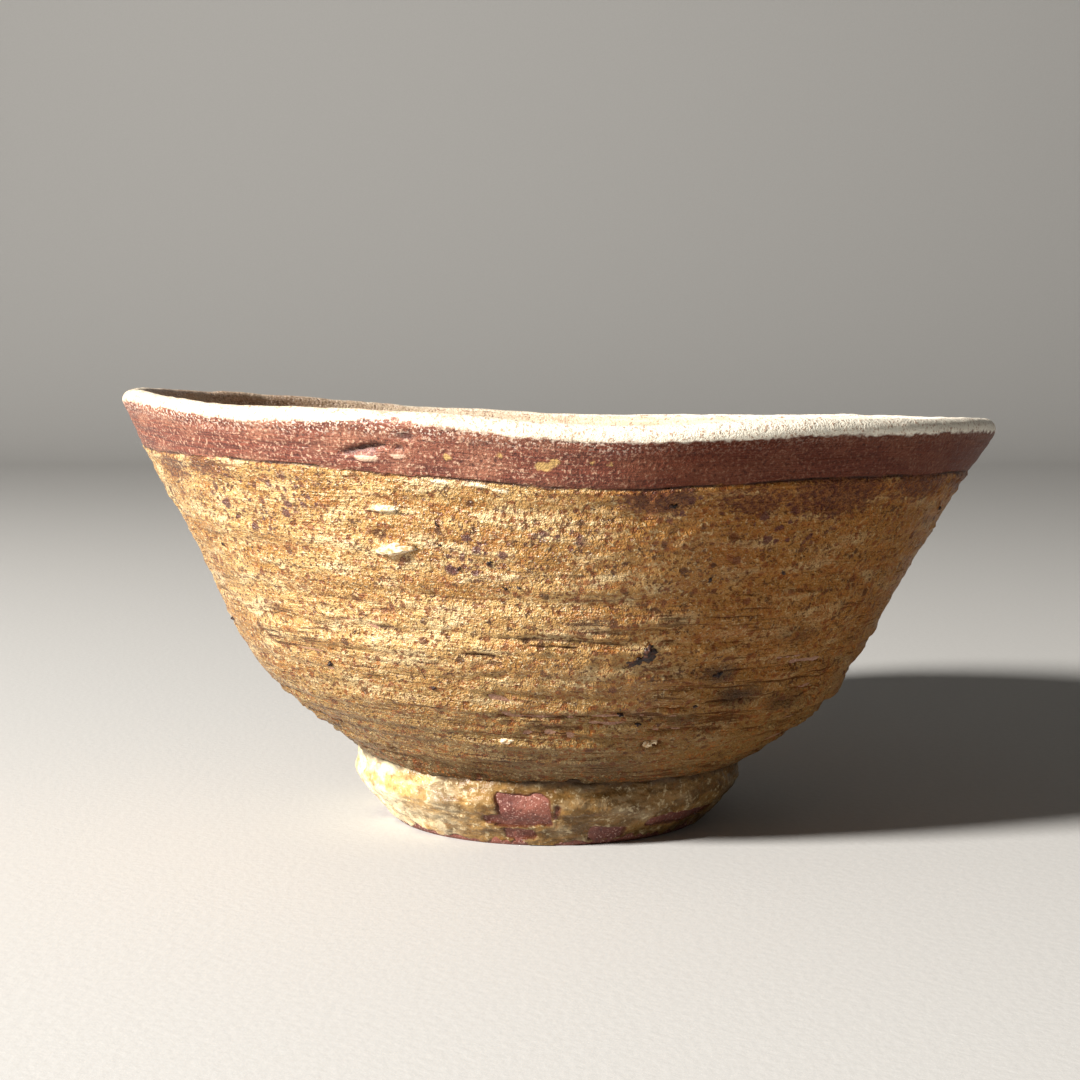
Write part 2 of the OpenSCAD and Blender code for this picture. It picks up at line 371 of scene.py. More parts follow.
def relief(turn, s):
    """The seen face's height over the smooth skin, outside, over the lip and inside."""
    turn, s = np.broadcast_arrays(turn, s)
    x, y, h = skin_place(turn, s)
    outer = smooth_step(s, -1.3, 0.2)
    inner = smooth_step(-s, LIP_ARC - 1, LIP_ARC + 1.5)
    total = (1 - outer) * (1 - inner) * (0.04 * fleck(x, y, h, 1.3, 1.3, 44)
                                         + 0.06 * fleck(x, y, h, 4, 4, 45))
    if outer.any():
        total = total + outer * outside_relief(turn, s)
    if inner.any():
        total = total + inner * inside_relief(turn, s)
    return total


# ---- meshes

def turns(columns):
    return (np.arange(columns) * TAU / columns)[None, :]


def smooth_mesh(name, points, faces):
    mesh = bpy.data.meshes.new(name)
    mesh.from_pydata(points, [], faces)
    mesh.polygons.foreach_set("use_smooth", [True] * len(mesh.polygons))
    return mesh


def closed_mesh(name, points, faces, centre):
    """A smooth mesh of closed shells round a centre, with its faces turned outwards."""
    mesh = smooth_mesh(name, points.tolist(), faces)
    first, second, third = (points[[face[i] for face in faces]] - centre for i in range(3))
    if np.einsum("ij,ij->i", first, np.cross(second, third)).sum() < 0:
        mesh.flip_normals()
    mesh.update()
    return mesh


def in_scene(name, data):
    """An object of the scene that holds a mesh, a light or a camera."""
    thing = bpy.data.objects.new(name, data)
    bpy.context.scene.collection.objects.link(thing)
    return thing


def lathe(name, rings, closed=False, start=None, end=None, attributes=None):
    """A closed piece from rings of points, (rings, columns, 3) in metres.

    closed joins the last ring to the first. start and end are single points that close the two ends.
    """
    count, columns = rings.shape[:2]
    points = rings.reshape(-1, 3)
    row = np.arange(count if closed else count - 1)[:, None]
    col = np.arange(columns)[None, :]
    after = (col + 1) % columns
    below = (row + 1) % count
    corners = [row * columns + col, row * columns + after, below * columns + after, below * columns + col]
    faces = np.stack(corners, -1).reshape(-1, 4).tolist()
    if start is not None:
        faces += [(len(points), (c + 1) % columns, c) for c in range(columns)]
        points = np.concatenate([points, [start]])
    if end is not None:
        last = (count - 1) * columns
        faces += [(len(points), last + c, last + (c + 1) % columns) for c in range(columns)]
        points = np.concatenate([points, [end]])
    mesh = closed_mesh(name, points, faces, 0)
    for key, values in (attributes or {}).items():
        values = np.asarray(values, np.float32).reshape(-1)
        values = np.concatenate([values, np.full(len(points) - len(values), values[-1], np.float32)])
        mesh.attributes.new(key, "FLOAT", "POINT").data.foreach_set("value", values)
    mesh.set_sharp_from_angle(angle=math.radians(65))
    return in_scene(name, mesh)


def skin_points(turn, s, out):
    """Points over the skin at (turn, s), out millimetres out of it and warped with the bowl."""
    r, h, nr, nh = skin(s)
    w_out, w_up = warp(turn, h)
    return place(r + nr * out + w_out, h + nh * out + w_up, turn)


def skin_attributes(turn, s):
    """What the materials need to know at each point of the skin."""
    turn, s = np.broadcast_arrays(turn, s)
    outside = {
        "gold": marks(turn, s, GOLD),
        "stain": marks(turn, s, STAINS),
        "speckled": marks(turn, s, SPECKLED),
        "smudge": marks(turn, s, SMUDGES),
        "pit": marks(turn, s, DENTS, even=True),
        "pale": marks(turn, s, RAISED, even=True),
        "groove": grooves(turn, s),
    }
    return {
        "down": s,
        "to_iron": np.maximum(s - lip_edge(turn), inner_lip_edge(turn) - s),
        "to_glaze": np.maximum(s - band_edge(turn), inner_band_edge(turn) - s),
        **{key: np.where(s > LIP_MIDDLE, values, 0.0) for key, values in outside.items()},
    }


BACK = -COAT  # a coat's back, as a height over the skin
CLAY = BACK - 0.02  # the clay's face, a hair under it
BACK_ROWS = 8


def coat(name, top, bottom, rows):
    """A closed coat on the skin, from s = top(turn) to s = bottom(turn)."""
    turn = turns(COLUMNS)
    first, last = top(turn) + 0 * turn, bottom(turn) + 0 * turn
    front_s = first + (last - first) * np.linspace(0, 1, rows)[:, None]
    back_s = last + (first - last) * np.linspace(0, 1, BACK_ROWS)[:, None]
    front = skin_points(turn, front_s, relief(turn, front_s))
    back_out = BACK + np.where(back_s > LIP_MIDDLE, dents(turn, back_s), 0)
    back = skin_points(turn, back_s, back_out)
    return lathe(name, np.concatenate([front, back]), closed=True,
                 attributes=skin_attributes(turn, np.concatenate([front_s, back_s])))


def foot_joint(radius):
    """s where the leaning skin is a radius from the foot's own axis, for each turn."""
    def joint(turn):
        low, high = 0 * turn + WALL_STRAIGHT, 0 * turn + BELLY_R * (PI / 2 - FLARE) + WALL_STRAIGHT
        for _ in range(40):
            middle = (low + high) / 2
            r, h, _, _ = skin(middle)
            x = r * np.sin(turn) * math.cos(LEAN) + h * math.sin(LEAN) + AXIS_X - FOOT_X
            wide = np.hypot(x, r * np.cos(turn)) > radius
            low, high = np.where(wide, middle, low), np.where(wide, high, middle)
        return low
    return joint


# ---- the foot

FOOT_CORNER_H = (FOOT_R - REST_R) / math.tan(BEVEL)  # where the side and the bevel would meet
RIDGE_R = 3.0
# Bare clay in the foot's glaze: place in degrees, height, half width, half height.
BARE = [
    (-6.5, 6.3, 4.2, 2.7), (-9.5, 4.4, 3.6, 1), (-9.5, 2, 2.4, 0.9), (18.5, 2.1, 3.3, 1.2),
    (-17, 4.6, 1.4, 0.7), (47, 3.2, 8, 1), (95, 2.4, 7, 1.3), (150, 2, 6, 1.4), (-150, 2.6, 7, 1.6),
    (174, 6.6, 4.4, 3), (-85, 1.8, 5, 1),
]


def foot_side(z):
    """The smooth foot at a height: distance from its axis, and the outward normal's two parts."""
    cut = RIDGE_R * math.tan(BEVEL / 2)
    bevel_top = FOOT_CORNER_H - cut * math.cos(BEVEL)
    turned = np.clip((z - (FOOT_CORNER_H + cut)) / RIDGE_R, -math.sin(BEVEL), 0)
    r = FOOT_R - RIDGE_R + RIDGE_R * np.sqrt(1 - turned ** 2)
    on_bevel = z < bevel_top
    r = np.where(on_bevel, REST_R + z * math.tan(BEVEL), r)
    nr = np.where(on_bevel, math.cos(BEVEL), np.sqrt(1 - turned ** 2))
    nz = np.where(on_bevel, -math.sin(BEVEL), turned)
    return r, nr, nz


def bare(turn, z):
    """1 where the foot's clay is bare, 0 under full glaze."""
    total = 0.0 * (turn + z)
    ragged = 0.135 * round_noise(turn, 1.7, z / 1.7, 52, FOOT_R)
    for place_deg, height, wide, tall in BARE:
        across, up = past(turn, place_deg) * FOOT_R / wide, (z - height) / tall
        # Between a box and an oval.
        away = 0.75 * np.maximum(np.abs(across), np.abs(up)) + 0.25 * np.hypot(across, up)
        total = np.maximum(total, smooth_step(-away, -1.15 - ragged, -0.95 - ragged))
    edge = 0.15 + 0.8 * round_noise(turn, 7, 0.5, 53) + 0.5 * round_noise(turn, 2.5, 1.5, 54)
    return np.maximum(total, 1 - smooth_step(z, edge - 0.2, edge + 0.3))


def foot_warp(turn, z):
    """How far the turned foot strays outwards from a true form."""
    slow = round_noise(turn, 14, z / 7, 55, FOOT_R)
    knocks = round_noise(turn, 4.5, z / 3, 56, FOOT_R)
    return (0.20 * slow + 0.14 * knocks - 0.25) * smooth_step(z, 0.2, 2.5)


def place_foot(turn, r, z):
    """Points round the foot's own upright axis, in metres."""
    x, y, z = np.broadcast_arrays(r * np.sin(turn), -r * np.cos(turn), z)
    return np.stack([(x + FOOT_X) / METRE, y / METRE, z / METRE], -1)


def foot_points(turn, z, out):
    """Points over the foot's outer side."""
    r, nr, nz = foot_side(z)
    return place_foot(turn, r + nr * out + foot_warp(turn, z), np.maximum(z + nz * out, 0))


def joint_height(turn):
    """The height at which the foot's side runs into the bowl."""
    s = foot_joint(FOOT_R)(turn)
    r, h, _, _ = skin(s)
    return h * math.cos(LEAN) - r * np.sin(turn) * math.sin(LEAN)


def foot_grit(turn, z):
    """The foot's fine unevenness, in millimetres out of its side."""
    fine = 0.08 * round_noise(turn, 1.2, z, 57, FOOT_R) + 0.07 * round_noise(turn, 0.7, z / 0.6, 58, FOOT_R)
    return fine + 0.16 * round_noise(turn, 3.2, z / 1.6, 59, FOOT_R)


FOOT_COLUMNS = 520


def foot_glaze_piece():
    """The glaze on the foot's side, with its bare marks sunk to the clay."""
    turn = turns(FOOT_COLUMNS)
    top = joint_height(turn) + 0.5
    front_z = 0.25 + (top - 0.25) * np.linspace(1, 0, 72)[:, None]
    naked = bare(turn, front_z)
    # A thick roll of glaze gathers round the bare mark and along the bottom edge.
    out = foot_grit(turn, front_z) + 0.14 * np.sin(np.clip(naked, 0, 1) * PI)
    ledge = 0.30 * smooth_step(front_z, 6.0, 7.2) * (1 - smooth_step(front_z, 7.4, 9.4))
    out = out + ledge * smooth_step(np.cos(turn + 0.9), 0.1, 0.9)
    out = (out * (1 - naked)) - (FOOT_COAT + 0.22) * naked
    seam = 1 - smooth_step(top - front_z, 0.4, 1.5)
    out = out - 0.35 * seam * smooth_step(round_noise(turn, 5, 0.5, 60), -0.2, 0.5)
    back_z = 0.3 + (top - 0.3) * np.linspace(0, 1, 8)[:, None]
    rings = np.concatenate([foot_points(turn, front_z, out), foot_points(turn, back_z, 0 * turn - 1.1)])
    z = np.concatenate([front_z, back_z])
    naked = np.concatenate([naked, 0 * back_z + 1])
    return lathe("glaze_foot", rings, closed=True,
                 attributes={"down": z, "bare": naked, "under_seam": top - z})


def foot_clay_piece():
    """The foot's clay: its outer side, the face it rests on and the wall of its recess."""
    turn = turns(FOOT_COLUMNS)
    top = joint_height(turn) + 1.2
    side_z = top * np.linspace(1, 0, 60)[:, None]
    rough = 0.6 * foot_grit(turn + 1, side_z) * smooth_step(side_z, 0.0, 0.8)
    low = 1 - smooth_step(side_z, 0.5, 1.1)
    side = foot_points(turn, side_z, -FOOT_COAT * (1 - low) + rough)
    flat = np.linspace(REST_R, RECESS_R, 10)[1:-1, None] + 0 * turn
    edge = 0.25 * round_noise(turn, 7, 2.5, 61)
    wall_z = np.linspace(0, RECESS_H + 0.6, 26)[:, None] + 0 * turn
    wall_r = RECESS_R + 0.25 * (1 - smooth_step(wall_z, 0, 0.5)) + 0.2 * edge
    wall_r = wall_r + 0.12 * np.sin(wall_z * 4 + turn)
    wall_r = wall_r + 0.06 * round_noise(turn, 1.1, wall_z / 1.1, 62, RECESS_R)
    rings = np.concatenate([side, place_foot(turn, flat, 0.0 * flat), place_foot(turn, wall_r, wall_z),
                            place_foot(turn, wall_r[-1:] + 3, wall_z[-1:] + 0.4)])
    heights = np.concatenate([side_z, 0 * flat, wall_z, wall_z[-1:]])
    return lathe("clay_foot", rings, closed=True, attributes={"down": heights})


def wall_piece():
    """The thrown clay, under all the coats, with the recess in its underside."""
    turn = turns(256)
    # The recess's ceiling, a low dome, from its middle out to the foot, and down into the ring.
    ceiling = np.linspace(0.4, RECESS_R + 0.8, 46)[:, None] + 0 * turn
    dome = RECESS_H - 0.5 * (ceiling / RECESS_R) ** 2 + 0.25 * np.exp(-(ceiling / 2.2) ** 2)
    dome = dome + 0.10 * np.sin(ceiling * TAU / 3.1 + turn) + 0.05 * round_noise(turn, 1.3, 0.5, 63, ceiling)
    pole = np.array([FOOT_X, 0, RECESS_H + 0.25]) / METRE
    lowest = foot_joint(RECESS_R + 2.2)(turn)
    s = lowest + (-LIP_ARC - INSIDE_LENGTH + 1.2 - lowest) * np.linspace(0, 1, 170)[:, None]
    inset = CLAY + np.where(s > LIP_MIDDLE, dents(turn, s), 0)
    rings = np.concatenate([place_foot(turn, ceiling, dome), skin_points(turn, s, inset)])
    return lathe("clay_wall", rings, start=pole, end=place(0.0, WELL_H + CLAY, 0.0),
                 attributes={"down": np.concatenate([0 * ceiling, s])})


def inner_glaze_piece():
    """The glaze of the inside, closed at the middle of the well."""
    turn = turns(420)
    edge = inner_band_edge(turn)
    deepest = -LIP_ARC - INSIDE_LENGTH + 0.5
    front_s = deepest + (edge - deepest) * np.linspace(0, 1, 190)[:, None]
    front = skin_points(turn, front_s, relief(turn, front_s))
    back_s = edge + (deepest - edge) * np.linspace(0, 1, 10)[:, None]
    back = skin_points(turn, back_s, BACK)
    s = np.concatenate([front_s, back_s])
    return lathe("glaze_inside", np.concatenate([front, back]), start=front[0].mean(0), end=back[-1].mean(0),
                 attributes=skin_attributes(turn, s))


# ---- spots and grains

def blob(turn_deg, s, wide, tall, high, seed, tilt=0.0, pointed=0.0, sink=0.25):
    """An irregular lump on the outside, sunk into it: rings of points for one closed lump."""
    turn = math.radians(turn_deg)
    around = turns(28)
    lift = np.linspace(-0.94, 0.94, 11)[:, None] * PI / 2
    u, v, w = np.cos(lift) * np.cos(around), np.cos(lift) * np.sin(around), np.sin(lift) + 0 * around
    uneven = 1 + 0.34 * noise(u * 1.7 + seed, v * 1.7, w * 1.7, 71)
    uneven = uneven + 0.20 * noise(u * 4 + seed, v * 4, w * 4, 72)
    u, v = u * uneven * wide * (1 - pointed * u), v * uneven * tall
    w = w * uneven * high
    u, v = u * math.cos(tilt) - v * math.sin(tilt), u * math.sin(tilt) + v * math.cos(tilt)
    level = float(relief(np.array(turn), np.array(s)))
    return skin_points(turn + u / skin(s)[0], s - v, level - sink + w)


def lumps(name, places):
    """One object of many closed lumps."""
    points, faces = [], []
    base = 0
    for rings in places:
        count, columns = rings.shape[:2]
        points += [rings.reshape(-1, 3), [rings[0].mean(0), rings[-1].mean(0)]]
        low = base + count * columns
        after = [(c + 1) % columns for c in range(columns)]
        for a in range(base, low - columns, columns):
            b = a + columns
            faces += [(a + c, a + d, b + d, b + c) for c, d in enumerate(after)]
        for c, d in enumerate(after):
            faces += [(low, base + d, base + c), (low + 1, low - columns + c, low - columns + d)]
        base = low + 2
    points = np.concatenate(points)
    return in_scene(name, closed_mesh(name, points, faces, points.mean(0)))


# Tiny specks on the front: place in degrees, s, size.
SPECKS = [
    (-14.9, 14, 0.45), (-14.9, 17.2, 0.4), (-8.5, 19.5, 0.55), (-6.7, 23.5, 0.4), (-12.6, 20.7, 0.35),
    (-4.7, 23.2, 0.35), (16.5, 47.7, 0.5), (26, 44, 0.4), (32.5, 21.2, 0.6), (-56, 21.4, 0.4),
    (21, 21.9, 0.45),
]


def spots_piece():
    """The iron spots: the large ones of the front, those scattered by rule, and the specks."""
    places = [
        blob(14.6, 33.7, 1.25, 1.35, 0.62, 1.3, tilt=0.3),
        blob(13.4, 34.9, 1.35, 0.95, 0.55, 2.7, tilt=0.45),
        blob(13.6, 10.0, 0.85, 0.72, 0.60, 3.9),
        blob(27.5, 38.0, 0.85, 0.60, 0.62, 4.4, tilt=0.3),
    ]
    small = np.random.default_rng(8)
    for i in range(1, 13):
        degrees = 45 + i * 137.5
        height = 20 + 34 * (i * 0.618 % 1)
        size = 1.1 * (0.55 + 0.3 * (i * 0.382 % 1))
        # Those that fall on the front stay as small as the specks there.
        if math.cos(math.radians(degrees)) > 0:
            size *= 0.6
        down = (WALL_TOP_H - height) / math.cos(FLARE)
        tall = size * small.uniform(0.6, 0.9)
        places.append(blob(degrees, down, size, tall, 0.55, 5.0 + i, tilt=small.uniform(-1, 1)))
    for degrees, down, size in SPECKS:
        places.append(blob(degrees, down, size, size * 0.8, 0.42, 20 + degrees, tilt=small.uniform(-1, 1)))
    return lumps("spots", places)


def grains_piece():
    """The pale stone grains that stand out of the glaze."""
    places = [
        blob(-21.5, 18.3, 2.0, 0.75, 0.75, 31.0, tilt=0.12, pointed=-0.22),
        blob(-21.6, 12.2, 2.2, 0.38, 0.42, 32.0, tilt=0.05),
        blob(20.4, 52.3, 0.85, 0.6, 0.95, 33.0, tilt=0.8),
        blob(21.9, 52.0, 0.5, 0.6, 0.75, 34.0),
        blob(-8.5, 52.2, 1.5, 0.55, 0.6, 35.0),
    ]
    return lumps("grains", places)


# ---- materials

class Finish:
    """A node material built with short calls. Places are in millimetres of the object's own space."""

    def __init__(self, name):
        self.material = bpy.data.materials.new(name)
        self.material.use_nodes = True
        self.tree = self.material.node_tree
        self.shader = self.tree.nodes["Principled BSDF"]
        self.mm = self.stretched(self.add("ShaderNodeTexCoord").outputs["Object"], METRE, METRE, METRE)

    def add(self, kind, **settings):
        node = self.tree.nodes.new(kind)
        for key, value in settings.items():
            setattr(node, key, value)
        return node

    def fixed(self, node, **values):
        for key, value in values.items():
            node.inputs[key].default_value = value

    def feed(self, socket, value):
        if isinstance(value, bpy.types.NodeSocket):
            self.tree.links.new(value, socket)
        elif socket.type == "RGBA":
            socket.default_value = (*value, 1)
        else:
            socket.default_value = value

    def stretched(self, vector, x, y, z):
        node = self.add("ShaderNodeVectorMath", operation="MULTIPLY")
        self.feed(node.inputs[0], vector)
        node.inputs[1].default_value = (x, y, z)
        return node.outputs[0]

    def given(self, name):
        return self.add("ShaderNodeAttribute", attribute_name=name).outputs["Fac"]

    def math(self, operation, *values):
        node = self.add("ShaderNodeMath", operation=operation)
        for socket, value in zip(node.inputs, values):
            self.feed(socket, value)
        return node.outputs[0]

    def times(self, *values):
        total = values[0]
        for value in values[1:]:
            total = self.math("MULTIPLY", total, value)
        return total

    def plus(self, *values):
        total = values[0]
        for value in values[1:]:
            total = self.math("ADD", total, value)
        return total

    def step(self, value, low, high, last=1.0, first=0.0):
        """Goes smoothly from first to last as value goes from low to high."""
        node = self.add("ShaderNodeMapRange", interpolation_type="SMOOTHSTEP")
        for socket, number in zip(node.inputs, (value, low, high, first, last)):
            self.feed(socket, number)
        return node.outputs[0]

    def edge(self, value, by, amount, low, high, last=1.0):
        """step() of a value that has another added to it by an amount."""
        return self.step(self.plus(value, self.times(by, amount)), low, high, last)

    def less(self, share, amount, full=1.0):
        """A full strength, less by an amount where share is 1."""
        return self.plus(full, self.times(share, -amount))

    def across(self):
        """How far to the bowl's right, in millimetres."""
        node = self.add("ShaderNodeSeparateXYZ")
        self.feed(node.inputs[0], self.mm)
        return node.outputs[0]

    def noise(self, size, detail=2.0, stretch=(1, 1, 1), vector=None, rough=0.55, shift=0.0):
        """Noise from 0 to 1, of features about size millimetres wide, longer by stretch."""
        node = self.add("ShaderNodeTexNoise", noise_dimensions="4D")
        where = self.stretched(vector or self.mm, *(1 / (size * k) for k in stretch))
        self.feed(node.inputs["Vector"], where)
        self.fixed(node, W=shift, Scale=1.0, Detail=detail, Roughness=rough)
        return node.outputs[0]

    def dots(self, size, keep, reach, vector):
        """Scattered round dots in cells of a size: keep of them, each reach of a cell in radius."""
        node = self.add("ShaderNodeTexVoronoi", feature="F1")
        self.feed(node.inputs["Vector"], self.stretched(vector, 1 / size, 1 / size, 1 / size))
        self.fixed(node, Scale=1.0)
        pick = self.add("ShaderNodeSeparateColor")
        self.feed(pick.inputs[0], node.outputs["Color"])
        kept = self.math("LESS_THAN", pick.outputs[0], keep)
        radius = self.math("MULTIPLY_ADD", pick.outputs[1], reach * 0.7, reach * 0.45)
        inside = self.math("SUBTRACT", 1.0, self.math("DIVIDE", node.outputs["Distance"], radius))
        return self.times(self.step(inside, 0.0, 0.35), kept)

    def mm_shaken(self, reach):
        """The object's own places, shaken so that round marks come out ragged."""
        node = self.add("ShaderNodeTexNoise")
        self.feed(node.inputs["Vector"], self.mm)
        self.fixed(node, Scale=1.3, Detail=2.0)
        moved = self.add("ShaderNodeVectorMath", operation="MULTIPLY_ADD")
        self.feed(moved.inputs[0], node.outputs["Color"])
        moved.inputs[1].default_value = (2 * reach, 2 * reach, 2 * reach)
        self.feed(moved.inputs[2], self.mm)
        return moved.outputs[0]

    def mix(self, share, first, second):
        """A colour that goes from first to second as share goes from 0 to 1."""
        node = self.add("ShaderNodeMix", data_type="RGBA")
        self.feed(node.inputs[0], share)
        self.feed(node.inputs[6], first)
        self.feed(node.inputs[7], second)
        return node.outputs[2]

    def blend(self, share, first, second):
        """A number that goes from first to second as share goes from 0 to 1."""
        node = self.add("ShaderNodeMix", data_type="FLOAT")
        self.feed(node.inputs[0], share)
        self.feed(node.inputs[2], first)
        self.feed(node.inputs[3], second)
        return node.outputs[0]

    def along(self, extra):
        """Places for streaks that run round the bowl: level lines keep the distance down the wall."""
        apart = self.add("ShaderNodeSeparateXYZ")
        self.feed(apart.inputs[0], self.mm)
        together = self.add("ShaderNodeCombineXYZ")
        self.feed(together.inputs[0], apart.outputs[0])
        self.feed(together.inputs[1], apart.outputs[1])
        wander = self.times(self.noise(25, 0), 2.0)
        self.feed(together.inputs[2], self.plus(self.given("down"), wander, extra))
        return together.outputs[0]

    def finish(self, colour, roughness, height_mm, specular=0.5):
        """Feeds the shader, with height_mm as bump, and gives the material."""
        bump = self.add("ShaderNodeBump")
        self.fixed(bump, Distance=1 / METRE)
        self.feed(bump.inputs["Height"], height_mm)
        for key, value in (("Normal", bump.outputs[0]), ("Base Color", colour), ("Roughness", roughness),
                           ("Specular IOR Level", specular)):
            self.feed(self.shader.inputs[key], value)
        return self.material


# The straw glaze, from its lightest parts to its darkest, with painted shade for its right side and for the
# joint over the foot.
RAISED_CREAM = (0.86, 0.70, 0.46)
LIGHT_SPECK = (0.80, 0.66, 0.39)
CREAM = (0.74, 0.57, 0.31)
STRAW = (0.55, 0.335, 0.120)
OCHRE = (0.38, 0.185, 0.042)
ORANGE = (0.31, 0.105, 0.018)
SHADED = (0.27, 0.105, 0.020)
FRECKLE = (0.19, 0.050, 0.009)
RUST_SPOT = (0.17, 0.048, 0.014)
OLIVE = (0.180, 0.105, 0.034)
UMBER = (0.078, 0.026, 0.007)
DEEP_JOINT_SHADE = (0.052, 0.029, 0.011)
PURPLE_BROWN = (0.105, 0.034, 0.028)
GREY_BROWN = (0.045, 0.026, 0.016)
STAIN = ((0.075, 0.018, 0.012), (0.20, 0.070, 0.02))
GAP = (0.035, 0.014, 0.010)
# The iron slip: brushed dark and light, patches, pale grit, dark grit.
IRON_OUTSIDE = ((0.095, 0.022, 0.013), (0.215, 0.056, 0.030), (0.36, 0.150, 0.085), (0.62, 0.40, 0.27),
                (0.050, 0.013, 0.008))
IRON_INSIDE = ((0.34, 0.20, 0.125), (0.56, 0.39, 0.26), (0.62, 0.50, 0.35), (0.60, 0.46, 0.32),
               (0.16, 0.08, 0.05))
WASHED_AND_LIT_IRON = (0.76, 0.62, 0.45)
SHADED_IRON = (0.090, 0.020, 0.009)
PAINTED_IRON_GLINT = (0.80, 0.64, 0.52)
IRON_RAISED = (0.66, 0.45, 0.32)
IRON_PIT = (0.05, 0.016, 0.014)
GOLDEN = (0.55, 0.35, 0.12)
# The lip's glaze.
LIT_LIP_WHITE = (0.94, 0.89, 0.76)
PALE_SPECK = (0.93, 0.88, 0.78)
PALE = (0.76, 0.66, 0.50)
PINK = (0.58, 0.38, 0.27)
BROWN_SPECK = (0.40, 0.21, 0.13)
# The foot's glaze.
FOOT_CREAM = (0.84, 0.73, 0.48)
FOOT_SPECK = (0.84, 0.70, 0.44)
HONEY = (0.56, 0.34, 0.12)
FOOT_RUST = (0.20, 0.085, 0.020)
FOOT_SHADED = (0.15, 0.077, 0.021)
FOOT_MOTTLE = (0.110, 0.056, 0.015)
FOOT_RIM = (0.085, 0.020, 0.010)
PAINTED_SEAM_SHADE = (0.035, 0.017, 0.008)
# Clay: base, lit, dark.
BOWL_CLAY = ((0.27, 0.125, 0.075), (0.36, 0.19, 0.12), (0.10, 0.04, 0.025))
FOOT_CLAY = ((0.125, 0.032, 0.022), (0.22, 0.070, 0.046), (0.07, 0.018, 0.014))
CLAY_GLINT = (0.60, 0.38, 0.31)
IRON_SPOT = ((0.010, 0.006, 0.006), (0.060, 0.020, 0.010))
STONE = ((0.50, 0.28, 0.11), (0.86, 0.72, 0.50))
FLOOR = ((0.46, 0.455, 0.445), (0.52, 0.515, 0.505))


